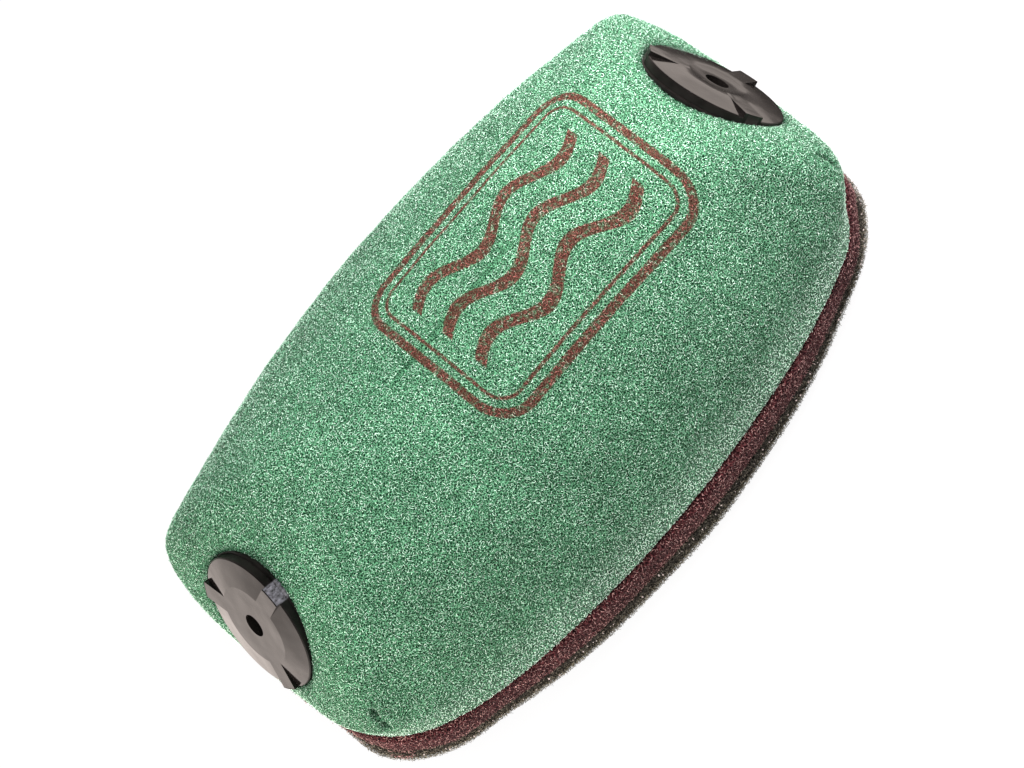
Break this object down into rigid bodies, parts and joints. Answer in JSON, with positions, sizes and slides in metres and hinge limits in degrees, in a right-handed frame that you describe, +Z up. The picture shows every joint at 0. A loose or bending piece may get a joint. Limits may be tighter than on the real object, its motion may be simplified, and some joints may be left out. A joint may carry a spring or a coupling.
{
  "type": "foam air filter element",
  "caption": "Domed, layered foam air filter for an off-road motorcycle, with a black foam sealing ring and moulded end caps bored for the pins of its cage.",
  "frame": {"origin": "middle of the sealing face's plane, under the middle of the dome", "axes": "+X along the dome towards the right cap, +Z up from the sealing face through the crown, +Y away from the side that the picture shows nearest"},
  "size_m": [0.1928, 0.12, 0.064],
  "materials": {
    "green_foam": "open-cell foam with fine cells",
    "maroon_foam": "open-cell foam with coarse cells",
    "black_foam": "open-cell foam, rough edge",
    "cap_plastic": "glossy moulding",
    "washer_plastic": "satin moulding",
    "glue": "dry contact glue"
  },
  "bodies": {
    "root": {"outer_foam": "green_foam", "inner_foam": "maroon_foam", "sealing_gasket": "black_foam", "left_cap": "cap_plastic", "right_cap": "cap_plastic", "left_backing_washer": "washer_plastic", "right_backing_washer": "washer_plastic", "dome_glue_line": "glue", "gasket_glue_line": "glue"}
  },
  "joints": []
}
